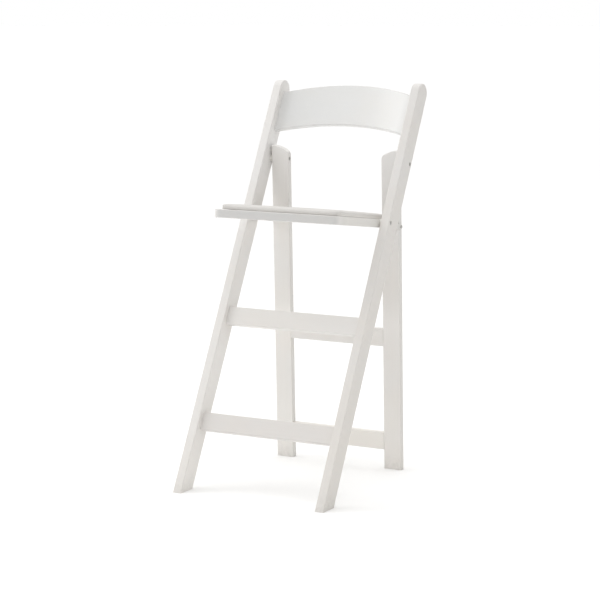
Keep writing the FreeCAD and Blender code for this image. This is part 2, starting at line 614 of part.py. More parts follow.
fold = POST_LEAN + LEG_LEAN
seat_turn = 90.0 + (90.0 - POST_LEAN) - SEAT_SLOPE
seat_turn = (180.0 - (90.0 - POST_LEAN)) - SEAT_SLOPE
P3f = turned(P3, P1, -fold)
Qf = turned(Q, P2, -seat_turn)
open_dir = math.degrees(math.atan2(Q.z - P3.z, Q.y - P3.y))
fold_dir = math.degrees(math.atan2(Qf.z - P3f.z, Qf.y - P3f.y))
print("leg pivot   P1", round(P1.y, 3), round(P1.z, 3), " seat pivot P2", round(P2.y, 3), round(P2.z, 3))
print("link on leg P3", round(P3.y, 3), round(P3.z, 3), " link on seat Q", round(Q.y, 3), round(Q.z, 3))
print("fold angle", round(fold, 3), "seat turn", round(seat_turn, 3))
print("link length open %.3f folded %.3f  direction open %.3f folded %.3f" %
      (LINK_L, math.hypot(Qf.y - P3f.y, Qf.z - P3f.z), open_dir, fold_dir))
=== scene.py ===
import bpy, bmesh, math
import numpy as np
from mathutils import Matrix, Vector, noise


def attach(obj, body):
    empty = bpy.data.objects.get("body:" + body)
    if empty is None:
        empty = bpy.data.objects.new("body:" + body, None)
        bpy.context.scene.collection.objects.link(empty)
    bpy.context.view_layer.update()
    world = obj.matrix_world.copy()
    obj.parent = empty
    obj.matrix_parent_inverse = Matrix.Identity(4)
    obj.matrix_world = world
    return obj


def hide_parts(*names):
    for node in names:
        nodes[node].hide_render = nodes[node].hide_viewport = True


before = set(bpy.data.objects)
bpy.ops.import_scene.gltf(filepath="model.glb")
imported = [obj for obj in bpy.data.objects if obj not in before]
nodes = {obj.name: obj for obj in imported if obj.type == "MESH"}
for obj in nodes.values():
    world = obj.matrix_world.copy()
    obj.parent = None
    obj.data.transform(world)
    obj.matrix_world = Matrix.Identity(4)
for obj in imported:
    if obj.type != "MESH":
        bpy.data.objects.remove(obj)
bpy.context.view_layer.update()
scene = bpy.context.scene

# Folding bar stool: white painted wood, white vinyl cushion, steel pivots.
# Metres, +Z up, the front of the stool faces -Y.

# ------------------------------------------------------------------ camera
R = Vector((0.87848, 0.47780, 0.0))
U = Vector((-0.072984, 0.134188, 0.988265))
D = Vector((-0.47219, 0.86817, -0.15275))
cam_data = bpy.data.cameras.new("camera")
cam = bpy.data.objects.new("camera", cam_data)
scene.collection.objects.link(cam)
m = Matrix((R.normalized(), U.normalized(), (-D).normalized())).transposed().to_4x4()
m.translation = Vector((2.6840, -4.9526, 1.3641))
cam.matrix_world = m
cam_data.sensor_width = 36.0
cam_data.lens = 126.36
cam_data.clip_start = 0.05
cam_data.clip_end = 1000.0
scene.camera = cam
scene.view_settings.view_transform = "Standard"
scene.view_settings.look = "None"


# ------------------------------------------------------------------ node helpers
class Tree:
    """Short names for building a node tree."""

    def __init__(self, tree):
        self.t = tree
        self.n = tree.nodes
        self.l = tree.links
        self.x = 0

    def add(self, kind, **props):
        node = self.n.new(kind)
        self.x += 180
        node.location = (self.x, 0)
        for k, v in props.items():
            setattr(node, k, v)
        return node

    def set(self, node, **values):
        for k, v in values.items():
            node.inputs[k.replace("_", " ")].default_value = v
        return node

    def link(self, a, b):
        self.l.new(a, b)

    def math(self, op, a, b=None, clamp=False):
        node = self.add("ShaderNodeMath", operation=op, use_clamp=clamp)
        for i, v in enumerate((a, b)):
            if v is None:
                continue
            if isinstance(v, (int, float)):
                node.inputs[i].default_value = v
            else:
                self.link(v, node.inputs[i])
        return node.outputs[0]

    def rng(self, v, a, b, c, d, smooth=False):
        node = self.add("ShaderNodeMapRange", clamp=True, interpolation_type="SMOOTHSTEP" if smooth else "LINEAR")
        self.link(v, node.inputs[0])
        for i, k in enumerate((a, b, c, d)):
            node.inputs[i + 1].default_value = k
        return node.outputs[0]

    def vmul(self, v, k):
        node = self.add("ShaderNodeVectorMath", operation="MULTIPLY")
        self.link(v, node.inputs[0])
        node.inputs[1].default_value = k
        return node.outputs[0]

    def noise(self, v, scale, detail=3.0, rough=0.55, distortion=0.0):
        node = self.add("ShaderNodeTexNoise")
        node.noise_dimensions = "3D"
        self.link(v, node.inputs["Vector"])
        node.inputs["Scale"].default_value = scale
        node.inputs["Detail"].default_value = detail
        node.inputs["Roughness"].default_value = rough
        node.inputs["Distortion"].default_value = distortion
        return node.outputs["Fac"]

    def voronoi(self, v, scale, feature="F1", rand=1.0):
        node = self.add("ShaderNodeTexVoronoi", feature=feature)
        self.link(v, node.inputs["Vector"])
        node.inputs["Scale"].default_value = scale
        node.inputs["Randomness"].default_value = rand
        return node.outputs["Distance"]

    def mix(self, fac, a, b, blend="MIX"):
        node = self.add("ShaderNodeMix", data_type="RGBA", blend_type=blend)
        if isinstance(fac, (int, float)):
            node.inputs[0].default_value = fac
        else:
            self.link(fac, node.inputs[0])
        for i, v in ((6, a), (7, b)):
            if isinstance(v, tuple):
                node.inputs[i].default_value = (*v, 1.0)
            else:
                self.link(v, node.inputs[i])
        return node.outputs[2]

    def bump(self, height, strength, distance, normal=None):
        node = self.add("ShaderNodeBump")
        node.inputs["Strength"].default_value = strength
        node.inputs["Distance"].default_value = distance
        self.link(height, node.inputs["Height"])
        if normal is not None:
            self.link(normal, node.inputs["Normal"])
        return node.outputs["Normal"]


def material(name):
    mat = bpy.data.materials.new(name)
    mat.use_nodes = True
    mat.node_tree.nodes.clear()
    t = Tree(mat.node_tree)
    out = t.add("ShaderNodeOutputMaterial")
    bsdf = t.add("ShaderNodeBsdfPrincipled")
    t.link(bsdf.outputs[0], out.inputs[0])
    return mat, t, bsdf


def along(t, axis, shift=(0.0, 0.0, 0.0)):
    """Object coordinates turned so that the grain runs along X."""
    tc = t.add("ShaderNodeTexCoord")
    rot = t.add("ShaderNodeVectorRotate", rotation_type="EULER_XYZ")
    e = Vector(axis).normalized().rotation_difference(Vector((1, 0, 0))).to_euler()
    t.link(tc.outputs["Object"], rot.inputs["Vector"])
    rot.inputs["Rotation"].default_value = e
    add = t.add("ShaderNodeVectorMath", operation="ADD")
    t.link(rot.outputs[0], add.inputs[0])
    add.inputs[1].default_value = shift
    return tc, add.outputs[0]


def edge_mask(t, radius, low, high):
    """1 on worn edges: where the shape's rounded normal leaves the true one."""
    bev = t.add("ShaderNodeBevel", samples=6)
    bev.inputs["Radius"].default_value = radius
    geo = t.add("ShaderNodeNewGeometry")
    dot = t.add("ShaderNodeVectorMath", operation="DOT_PRODUCT")
    t.link(bev.outputs[0], dot.inputs[0])
    t.link(geo.outputs["Normal"], dot.inputs[1])
    return t.rng(dot.outputs["Value"], 1.0 - low, 1.0 - high, 0.0, 1.0)


PAINT = (0.775, 0.753, 0.730)
PAINT_WARM = (0.769, 0.741, 0.709)
PAINT_COOL = (0.765, 0.751, 0.734)
WORN = (0.560, 0.490, 0.390)
SCUFF = (0.470, 0.455, 0.430)


def painted_wood(name, axis, seed, foot=False, grain=1.0, hue_and_shade=None, faces=(), gloss=0.0, even=1.0, corner=None):
    """faces: (direction, multiplier) pairs of painted light and shade, single sides of the board made lighter or darker
    for how the light falls on them. corner: the posts' inner face, beside which the painted shadow of the posts lies.
    """
    mat, t, bsdf = material(name)
    tc, v = along(t, axis, (seed * 1.37, seed * 0.61, seed * 0.23))
    # long grain showing faintly through the paint, two scales
    g1 = t.noise(t.vmul(v, (5.0, 170.0, 170.0)), 1.0, 4.0, 0.62, 0.6)
    g2 = t.noise(t.vmul(v, (26.0, 900.0, 900.0)), 1.0, 3.0, 0.6)
    grainv = t.math("ADD", t.math("MULTIPLY", g1, 0.62), t.math("MULTIPLY", g2, 0.38))
    lines = t.rng(grainv, 0.36, 0.64, 0.0, 1.0)
    # sprayed paint: orange peel and slow changes of tone
    peel = t.noise(v, 620.0, 2.0, 0.5)
    broad = t.noise(v, 5.5, 3.0, 0.5)
    patch = t.noise(t.vmul(v, (9.0, 24.0, 24.0)), 1.0, 3.0, 0.55)
    tone = t.mix(t.rng(broad, 0.34, 0.66, 0.0, 1.0), PAINT_WARM, PAINT_COOL)
    tone = t.mix(t.rng(patch, 0.35, 0.7, 0.0, 0.6), tone, PAINT)
    tone = t.mix(t.math("MULTIPLY", t.math("SUBTRACT", 1.0, lines), 0.095 * grain), tone, (0.66, 0.635, 0.59))
    # wear: paint rubbed thin on the edges, in places
    edge = edge_mask(t, 0.0022, 0.015, 0.20)
    where = t.noise(v, 38.0, 5.0, 0.65)
    worn = t.math("MULTIPLY", edge, t.rng(where, 0.54, 0.70, 0.0, 1.0), clamp=True)
    tone = t.mix(t.math("MULTIPLY", worn, 0.34), tone, WORN)
    # small scuffs and specks
    sp = t.noise(t.vmul(v, (90.0, 260.0, 260.0)), 1.0, 2.0, 0.5)
    specks = t.math("MULTIPLY", t.rng(sp, 0.735, 0.80, 0.0, 1.0), t.rng(where, 0.45, 0.6, 0.0, 1.0))
    tone = t.mix(t.math("MULTIPLY", specks, 0.22), tone, SCUFF)
    # painted light: the paint warmer towards the floor and cooler high up, a colour change with height standing in for
    # how the light falls
    sep = t.add("ShaderNodeSeparateXYZ")
    t.link(tc.outputs["Object"], sep.inputs[0])
    height_light_cast = t.mix(t.rng(sep.outputs["Z"], 0.10, 1.0, 0.0, 1.0), (1.004, 1.0, 0.990), (0.995, 1.002, 1.012))
    tone = t.mix(1.0, tone, height_light_cast, "MULTIPLY")
    if foot:
        low = t.rng(sep.outputs["Z"], 0.0, 0.055, 1.0, 0.0, smooth=True)
        kick = t.noise(v, 70.0, 5.0, 0.7)
        grime = t.math("MULTIPLY", low, t.rng(kick, 0.40, 0.66, 0.0, 1.0))
        tone = t.mix(t.math("MULTIPLY", grime, 0.30), tone, SCUFF)
    # painted light and shade: the whole-piece multiplier makes a lighter or darker copy of the paint, standing in for
    # how the light falls on the piece; on the backrest it is a cooler hue
    if hue_and_shade is not None:
        tone = t.mix(1.0, tone, hue_and_shade, "MULTIPLY")
    for toward, shade in faces:
        # painted light and shade: one side of the board made lighter or darker, standing in for how the light falls on
        # that side
        dot = t.add("ShaderNodeVectorMath", operation="DOT_PRODUCT")
        t.link(tc.outputs["Normal"], dot.inputs[0])
        dot.inputs[1].default_value = Vector(toward).normalized()
        tone = t.mix(t.rng(dot.outputs["Value"], 0.75, 0.97, 0.0, 1.0), tone, t.mix(1.0, tone, shade, "MULTIPLY"))
    if corner is not None:
        # painted shadow: a darker strip at the ends beside the posts, standing in for the posts' shadow, a little
        # uneven
        off = t.math("ABSOLUTE", sep.outputs["X"])
        post_shadow = t.math("MULTIPLY", t.rng(off, corner - 0.034, corner - 0.012, 0.0, 1.0, smooth=True), t.rng(where, 0.2, 0.6, 0.75, 1.0))
        tone = t.mix(t.math("MULTIPLY", post_shadow, 0.30), tone, (0.52, 0.51, 0.49))
    t.link(tone, bsdf.inputs["Base Color"])
    rough = t.math("ADD", t.rng(broad, 0.3, 0.7, 0.31 - gloss - 0.04 * even, 0.31 - gloss + 0.04 * even), t.math("MULTIPLY", peel, 0.04 * even))
    rough = t.math("ADD", rough, t.math("MULTIPLY", worn, 0.25), clamp=True)
    t.link(rough, bsdf.inputs["Roughness"])
    bsdf.inputs["IOR"].default_value = 1.47
    nrm = t.bump(grainv, 0.26 * grain * even, 0.0006)
    nrm = t.bump(peel, 0.10 * even, 0.0004, nrm)
    nrm = t.bump(worn, 0.25, 0.00012, nrm)
    t.link(nrm, bsdf.inputs["Normal"])
    return mat


def bare_wood(name, axis, seed, light, dark, ply=False):
    mat, t, bsdf = material(name)
    tc, v = along(t, axis, (seed * 0.9, seed * 0.4, seed * 0.7))
    g = t.noise(t.vmul(v, (7.0, 150.0, 150.0)), 1.0, 5.0, 0.62, 0.8)
    pores = t.noise(t.vmul(v, (60.0, 1500.0, 1500.0)), 1.0, 2.0, 0.5)
    tone = t.mix(t.rng(g, 0.32, 0.68, 0.0, 1.0), dark, light)
    tone = t.mix(t.math("MULTIPLY", t.rng(pores, 0.58, 0.72, 0.0, 1.0), 0.35), tone, tuple(0.6 * c for c in dark))
    if ply:
        # glued layers show at the sawn edge
        tcs = t.add("ShaderNodeSeparateXYZ")
        t.link(v, tcs.inputs[0])
        wave = t.math("SINE", t.math("MULTIPLY", tcs.outputs["Z"], 2 * math.pi / 0.0016))
        tone = t.mix(t.rng(wave, 0.2, 0.9, 0.0, 0.16), tone, tuple(0.7 * c for c in dark))
    t.link(tone, bsdf.inputs["Base Color"])
    t.link(t.rng(g, 0.3, 0.7, 0.60, 0.74), bsdf.inputs["Roughness"])
    t.link(t.bump(t.math("ADD", g, pores), 0.25, 0.0005), bsdf.inputs["Normal"])
    return mat


def painted_steel(name, seed):
    mat, t, bsdf = material(name)
    tc, v = along(t, (0, 1, 0), (seed, seed * 0.5, 0.0))
    cloud = t.noise(v, 45.0, 3.0, 0.5)
    peel = t.noise(v, 700.0, 2.0, 0.5)
    edge = edge_mask(t, 0.0007, 0.02, 0.25)
    chips = t.math("MULTIPLY", edge, t.rng(t.noise(v, 160.0, 4.0, 0.65), 0.50, 0.62, 0.0, 1.0), clamp=True)
    tone = t.mix(t.rng(cloud, 0.35, 0.65, 0.0, 1.0), (0.655, 0.640, 0.612), (0.690, 0.676, 0.650))
    tone = t.mix(t.math("MULTIPLY", chips, 0.7), tone, (0.34, 0.33, 0.31))
    t.link(tone, bsdf.inputs["Base Color"])
    t.link(t.math("ADD", t.rng(peel, 0.3, 0.7, 0.34, 0.42), t.math("MULTIPLY", chips, 0.2)), bsdf.inputs["Roughness"])
    nrm = t.bump(peel, 0.14, 0.0003)
    t.link(t.bump(chips, 0.30, 0.0001, nrm), bsdf.inputs["Normal"])
    return mat


def steel(name, base, rough, seed=0.0):
    mat, t, bsdf = material(name)
    tc, v = along(t, (1, 0, 0), (seed, seed * 0.5, 0.0))
    cloud = t.noise(v, 220.0, 4.0, 0.6)
    fine = t.noise(t.vmul(v, (900.0, 2600.0, 2600.0)), 1.0, 2.0, 0.5)
    edge = edge_mask(t, 0.0006, 0.02, 0.25)
    darker = tuple(0.72 * c for c in base)
    lighter = tuple(min(1.0, 1.25 * c) for c in base)
    tone = t.mix(t.rng(cloud, 0.35, 0.65, 0.0, 1.0), darker, base)
    tone = t.mix(t.math("MULTIPLY", edge, 0.5), tone, lighter)
    t.link(tone, bsdf.inputs["Base Color"])
    bsdf.inputs["Metallic"].default_value = 1.0
    t.link(t.rng(cloud, 0.3, 0.7, rough - 0.06, rough + 0.10), bsdf.inputs["Roughness"])
    t.link(t.bump(t.math("ADD", cloud, fine), 0.18, 0.0002), bsdf.inputs["Normal"])
    return mat


def nylon(name):
    mat, t, bsdf = material(name)
    tc, v = along(t, (1, 0, 0))
    cloud = t.noise(v, 90.0, 3.0, 0.5)
    fine = t.noise(v, 1800.0, 2.0, 0.5)
    t.link(t.mix(t.rng(cloud, 0.3, 0.7, 0.0, 1.0), (0.72, 0.70, 0.65), (0.78, 0.77, 0.73)), bsdf.inputs["Base Color"])
    t.link(t.rng(fine, 0.3, 0.7, 0.42, 0.55), bsdf.inputs["Roughness"])
    t.link(t.bump(fine, 0.15, 0.0002), bsdf.inputs["Normal"])
    return mat


def vinyl(name):
    mat, t, bsdf = material(name)
    tc = t.add("ShaderNodeTexCoord")
    v = tc.outputs["Object"]
    wob = t.add("ShaderNodeTexNoise")
    t.link(v, wob.inputs["Vector"])
    wob.inputs["Scale"].default_value = 300.0
    off = t.add("ShaderNodeVectorMath", operation="MULTIPLY_ADD")
    t.link(wob.outputs["Color"], off.inputs[0])
    off.inputs[1].default_value = (0.0011, 0.0011, 0.0011)
    t.link(v, off.inputs[2])
    pebble = t.voronoi(off.outputs[0], 720.0, "F1", 1.0)
    crack = t.voronoi(off.outputs[0], 720.0, "DISTANCE_TO_EDGE", 1.0)
    creases = t.noise(t.vmul(v, (1.0, 1.5, 1.0)), 55.0, 5.0, 0.6, 0.6)
    broad = t.noise(v, 9.0, 3.0, 0.5)
    valley = t.rng(crack, 0.0, 0.10, 1.0, 0.0)
    tone = t.mix(t.rng(broad, 0.32, 0.68, 0.0, 1.0), (0.642, 0.622, 0.598), (0.652, 0.636, 0.616))
    tone = t.mix(t.math("MULTIPLY", valley, 0.16), tone, (0.60, 0.585, 0.55))
    soil = t.rng(creases, 0.60, 0.75, 0.0, 1.0)
    tone = t.mix(t.math("MULTIPLY", soil, 0.08), tone, (0.60, 0.57, 0.52))
    # painted light: the low part of the two sides made whiter, standing in for more light reaching it
    sep = t.add("ShaderNodeSeparateXYZ")
    t.link(tc.outputs["Normal"], sep.inputs[0])
    lift = t.add("ShaderNodeVectorMath", operation="DOT_PRODUCT")
    rel = t.add("ShaderNodeVectorMath", operation="SUBTRACT")
    t.link(v, rel.inputs[0])
    rel.inputs[1].default_value = P2
    t.link(rel.outputs[0], lift.inputs[0])
    lift.inputs[1].default_value = (0.0, math.sin(SG), math.cos(SG))
    side_fill_light = t.math("MULTIPLY", t.rng(t.math("ABSOLUTE", sep.outputs["X"]), 0.35, 0.85, 0.0, 1.0, smooth=True),
                   t.rng(lift.outputs["Value"], 0.0100, 0.0190, 1.0, 0.0, smooth=True))
    tone = t.mix(side_fill_light, tone, (0.790, 0.768, 0.735))
    t.link(tone, bsdf.inputs["Base Color"])
    rough = t.math("ADD", t.rng(broad, 0.3, 0.7, 0.40, 0.50), t.math("MULTIPLY", valley, 0.14), clamp=True)
    t.link(rough, bsdf.inputs["Roughness"])
    bsdf.inputs["IOR"].default_value = 1.48
    nrm = t.bump(creases, 0.22, 0.0011)
    nrm = t.bump(pebble, 0.30, 0.0005, nrm)
    nrm = t.bump(crack, 0.25, 0.0003, nrm)
    t.link(nrm, bsdf.inputs["Normal"])
    return mat


# ------------------------------------------------------------------ materials on the CAD nodes
AL = math.radians(27.65)
BE = math.radians(1.99)
SG = math.radians(7.58)
POST_AX = (0.0, math.sin(AL), math.cos(AL))
LEG_AX = (0.0, -math.sin(BE), math.cos(BE))
SIDE_AX = (0.0, math.cos(SG), -math.sin(SG))
X_AX = (1.0, 0.0, 0.0)
LEFT_AX = (-1.0, 0.0, 0.0)

FRONT_WAY = (0.0, -math.cos(SG), math.sin(SG))
# painted shade: the front faces of the seat frame and the two sides of the rear legs get a darker, greyer paint,
# standing in for less light on them
PAINTED_FRONT_SHADE = (0.815, 0.825, 0.835)
PAINTED_SIDE_SHADE = (0.865, 0.865, 0.862)
BEECH_L, BEECH_D = (0.70, 0.53, 0.36), (0.56, 0.40, 0.26)
PLY_L, PLY_D = (0.66, 0.50, 0.33), (0.52, 0.37, 0.23)

zinc = steel("zinc_steel", (0.42, 0.41, 0.40), 0.42)
dark_steel = steel("dull_bolt_steel", (0.50, 0.49, 0.465), 0.50, 3.0)
# painted light: a lighter copy of the bolt steel for the seat pivot bolts and the link screws, standing in for less
# shade on them
bolt_steel_lit_copy = steel("bolt_steel_painted_lighter", (0.62, 0.61, 0.585), 0.48, 5.0)
plastic = nylon("spacer_nylon")
# painted light and shade: the whole-piece and per-side multipliers below make whole pieces and single sides lighter or
# darker, standing in for how the light falls on them
finish_of = {
    "left_post": painted_wood("paint_left_post", POST_AX, 1.0, foot=True, faces=[(X_AX, (1.07, 1.07, 1.07))]),
    "right_post": painted_wood("paint_right_post", POST_AX, 2.0, foot=True, hue_and_shade=(0.95, 0.945, 0.94),
                                faces=[(X_AX, (0.96, 0.955, 0.945))]),
    "left_rear_leg": painted_wood("paint_left_rear_leg", LEG_AX, 3.0, foot=True, hue_and_shade=(1.08, 1.08, 1.075),
                                  faces=[(X_AX, PAINTED_SIDE_SHADE), (LEFT_AX, PAINTED_SIDE_SHADE)]),
    "right_rear_leg": painted_wood("paint_right_rear_leg", LEG_AX, 4.0, foot=True, hue_and_shade=(1.04, 1.04, 1.04),
                                   faces=[(X_AX, PAINTED_SIDE_SHADE), (LEFT_AX, PAINTED_SIDE_SHADE)]),
    "backrest": painted_wood("paint_backrest", X_AX, 5.0, grain=0.7, hue_and_shade=(0.985, 1.004, 1.015), gloss=0.10, even=0.2, corner=0.2016),
    "front_upper_stretcher": painted_wood("paint_front_upper_stretcher", X_AX, 6.0),
    "front_lower_stretcher": painted_wood("paint_front_lower_stretcher", X_AX, 7.0, hue_and_shade=(0.93, 0.92, 0.92)),
    "rear_upper_stretcher": painted_wood("paint_rear_upper_stretcher", X_AX, 8.0, hue_and_shade=(1.035, 1.035, 1.035)),
    "rear_lower_stretcher": painted_wood("paint_rear_lower_stretcher", X_AX, 9.0, hue_and_shade=(1.085, 1.085, 1.075)),
    "seat_left_rail": painted_wood("paint_seat_left_rail", SIDE_AX, 10.0, faces=[(FRONT_WAY, PAINTED_FRONT_SHADE)]),
    "seat_right_rail": painted_wood("paint_seat_right_rail", SIDE_AX, 11.0, faces=[(FRONT_WAY, PAINTED_FRONT_SHADE), (X_AX, (0.935, 0.935, 0.92))]),
    "seat_front_rail": painted_wood("paint_seat_front_rail", X_AX, 12.0, faces=[(FRONT_WAY, PAINTED_FRONT_SHADE)]),
    "seat_rear_rail": painted_wood("paint_seat_rear_rail", X_AX, 13.0),
    "seat_board": painted_wood("paint_seat_board", X_AX, 14.0, grain=1.8),
    "cushion_base": bare_wood("cushion_plywood", X_AX, 2.0, PLY_L, PLY_D, ply=True),
    "front_frame_dowels": bare_wood("beech_front_dowels", X_AX, 3.0, BEECH_L, BEECH_D),
    "rear_frame_dowels": bare_wood("beech_rear_dowels", X_AX, 4.0, BEECH_L, BEECH_D),
    "seat_frame_dowels": bare_wood("beech_seat_dowels", X_AX, 5.0, BEECH_L, BEECH_D),
    "left_link": painted_steel("paint_left_link", 1.0),
    "right_link": painted_steel("paint_right_link", 2.0),
    "leg_pivot_bolts": dark_steel,
    "seat_pivot_bolts": bolt_steel_lit_copy,
    "leg_pivot_nuts": dark_steel,
    "seat_pivot_nuts": dark_steel,
    "link_leg_screws": bolt_steel_lit_copy,
    "left_link_stud": dark_steel,
    "right_link_stud": dark_steel,
    "seat_stop_pins": zinc,
    "link_seat_inserts": zinc,
    "seat_board_screws": zinc,
    "cushion_screws": zinc,
    "leg_pivot_spacers": plastic,
    "seat_pivot_spacers": plastic,
    "link_washers": plastic,
}
for name, obj in nodes.items():
    if name in ("cushion_cover", "cushion_foam"):
        continue
    obj.data.materials.clear()
    obj.data.materials.append(finish_of[name])


# ------------------------------------------------------------------ cushion
# Seat frame: x across, u rearward, v upward, zero at the seat pivot.
P2 = Vector((0.0, 0.072108, 0.708904))
SEAT = Matrix.Translation(P2) @ Matrix.Rotation(-SG, 4, "X")

PAD_X = 0.1812                       # half width, before it settles
PAD_U0, PAD_U1 = -0.2117, 0.0800     # front and rear edge
PAD_MID = (PAD_U0 + PAD_U1) / 2
PAD_HALF = (PAD_U1 - PAD_U0) / 2
PAD_V0 = 0.0083                      # underside
PAD_CORNER = 0.0165


def ring_points(half_x, half_u, corner, count):
    """Rounded rectangle about the pad's middle, evenly spaced."""
    pts = []
    for cx, cu, a0 in ((1, 1, 0), (-1, 1, 90), (-1, -1, 180), (1, -1, 270)):
        for i in range(count):
            a = math.radians(a0 + 90.0 * i / (count - 1))
            pts.append((cx * (half_x - corner) + corner * math.cos(a), cu * (half_u - corner) + corner * math.sin(a)))
    return pts


def ring_mesh(name, rings):
    """rings: list of (inset, v). Closed at the bottom and the top."""
    bm = bmesh.new()
    loops = []
    for inset, v in rings:
        c = max(0.004, PAD_CORNER - inset)
        loops.append([bm.verts.new((x, PAD_MID + u, v)) for x, u in ring_points(PAD_X - inset, PAD_HALF - inset, c, 12)])
    for a, b in zip(loops, loops[1:]):
        n = len(a)
        for i in range(n):
            bm.faces.new((a[i], a[(i + 1) % n], b[(i + 1) % n], b[i]))
    bm.faces.new(list(reversed(loops[0])))
    bm.faces.new(loops[-1])
    bmesh.ops.recalc_face_normals(bm, faces=bm.faces)
    me = bpy.data.meshes.new(name)
    bm.to_mesh(me)
    bm.free()
    return me


def bake(obj):
    """The object's mesh with its modifiers applied."""
    dg = bpy.context.evaluated_depsgraph_get()
    me = bpy.data.meshes.new_from_object(obj.evaluated_get(dg))
    obj.modifiers.clear()
    obj.data = me
    return obj


def get_co(me):
    co = np.zeros(len(me.vertices) * 3, np.float32)
    me.vertices.foreach_get("co", co)
    return co.reshape(-1, 3).astype(float)


def put_co(me, co):
    me.vertices.foreach_set("co", co.astype(np.float32).ravel())
    me.update()


def smooth01(t):
    t = np.clip(t, 0, 1)
    return t * t * (3 - 2 * t)


def make_cushion():
    # the cover turns in under the pad, rises round the foam's edge and lies flat on top
    rings = [(0.0050, PAD_V0), (0.0022, PAD_V0 + 0.0003), (0.0009, PAD_V0 + 0.0012), (0.0004, PAD_V0 + 0.0030),
             (0.0003, PAD_V0 + 0.0062), (0.0006, PAD_V0 + 0.0090), (0.0018, PAD_V0 + 0.0112), (0.0042, PAD_V0 + 0.0127),
             (0.0080, PAD_V0 + 0.0134), (0.0160, PAD_V0 + 0.0138), (0.0300, PAD_V0 + 0.0140)]
    pad = bpy.data.objects.new("cushion", ring_mesh("cushion", rings))
    scene.collection.objects.link(pad)
    mod = pad.modifiers.new("grid", "REMESH")
    mod.mode = "VOXEL"
    mod.voxel_size = 0.004
    mod.adaptivity = 0.0
    bake(pad)
    start = get_co(pad.data)
    held = pad.vertex_groups.new(name="held")
    # the cover is stapled under the base board: the underside and its edge are held
    for i, c in enumerate(start):
        w = 1.0 if c[2] < PAD_V0 + 0.0012 else max(0.0, 1.0 - (c[2] - PAD_V0 - 0.0012) / 0.003)
        if w > 0:
            held.add([i], float(w), "REPLACE")
    cloth = pad.modifiers.new("cloth", "CLOTH")
    s = cloth.settings
    s.quality = 6
    s.mass = 0.3
    s.tension_stiffness = 12.0
    s.compression_stiffness = 12.0
    s.shear_stiffness = 4.0
    s.bending_stiffness = 0.4
    s.use_pressure = True
    s.uniform_pressure_force = 4.0
    s.vertex_group_mass = "held"
    s.effector_weights.gravity = 0.0
    cloth.collision_settings.use_collision = False
    cloth.point_cache.frame_start = 1
    cloth.point_cache.frame_end = 20
    for f in range(1, 21):
        scene.frame_set(f)
    bake(pad)
    scene.frame_set(1)
    co = get_co(pad.data)
    step = co - start
    far = np.linalg.norm(step, axis=1, keepdims=True)
    # the foam holds the cover back: no point moves further than the cap
    cap = 0.0032
    most = max(float(far.max()), 1e-6)
    step *= cap * (far / most) ** 0.6 / np.maximum(far, 1e-9)
    co = start + step
    pad.vertex_groups.clear()
    put_co(pad.data, co)
    mod = pad.modifiers.new("fine", "SUBSURF")
    mod.levels = mod.render_levels = 1
    bake(pad)
    co = get_co(pad.data)

    # crown, and sides that pull in a little between the corners
    x = co[:, 0] / PAD_X
    u = (co[:, 1] - PAD_MID) / PAD_HALF
    top = smooth01((co[:, 2] - PAD_V0 - 0.006) / 0.006)
    crown = (1 - np.clip(np.abs(x), 0, 1) ** 2.6) * (1 - np.clip(np.abs(u), 0, 1) ** 2.6)
    co[:, 2] += 0.0002 * crown * top
    side = np.clip((co[:, 2] - PAD_V0) / 0.004, 0, 1)
    near_x = smooth01((np.abs(x) - 0.80) / 0.20) * (1 - np.abs(u) ** 2.0).clip(0, 1)
    near_u = smooth01((np.abs(u) - 0.80) / 0.20) * (1 - np.abs(x) ** 2.0).clip(0, 1)
    co[:, 0] -= np.sign(x) * 0.0004 * near_x * side
    co[:, 1] -= np.sign(u) * 0.0004 * near_u * side

    # the lower edge is drawn tight round the base board
    half = float(np.abs(co[:, 0]).max()), float(np.abs(co[:, 1] - PAD_MID).max())
    ox = np.abs(co[:, 0]) - (half[0] - PAD_CORNER)
    ou = np.abs(co[:, 1] - PAD_MID) - (half[1] - PAD_CORNER)
    px, pu = np.maximum(ox, 0), np.maximum(ou, 0)
    reach = np.hypot(px, pu)
    deep = PAD_CORNER - np.where(reach > 0, reach, np.minimum(np.maximum(ox, ou), 0))
    gx = np.where(reach > 0, px / np.maximum(reach, 1e-9), (ox >= ou).astype(float)) * np.sign(co[:, 0])
    gu = np.where(reach > 0, pu / np.maximum(reach, 1e-9), (ox < ou).astype(float)) * np.sign(co[:, 1] - PAD_MID)
    low = smooth01((0.0075 - (co[:, 2] - PAD_V0)) / 0.0035) * smooth01((0.009 - deep) / 0.007)
    out = 0.84 * np.clip(deep, 0, 0.02) * low
    co[:, 0] += gx * out
    co[:, 1] += gu * out
    high = co[:, 2] - PAD_V0
    co[:, 2] -= 0.6 * high * smooth01((0.0040 - high) / 0.0030)

    # along the sides the cover is pulled straight down to the board's edge, in a plain slope
    high = (co[:, 2] - PAD_V0) * 1000.0
    shift = (np.interp(high, (0, 0.5, 1, 3, 5, 7, 9, 11, 12), (1.45, 0.80, 0.19, 0.05, 0.10, 0.73, 1.80, 3.40, 6.00))
             - np.interp(high, (0, 0.5, 1, 3, 5, 7, 9, 11, 12), (0.45, 0.10, 0.00, 0.30, 0.75, 1.30, 2.10, 3.50, 6.00))) / 1000.0
    shift *= smooth01((np.abs(gx) - 0.35) / 0.5) * smooth01((0.012 - deep) / 0.006)
    co[:, 0] += gx * shift
    co[:, 1] += gu * shift

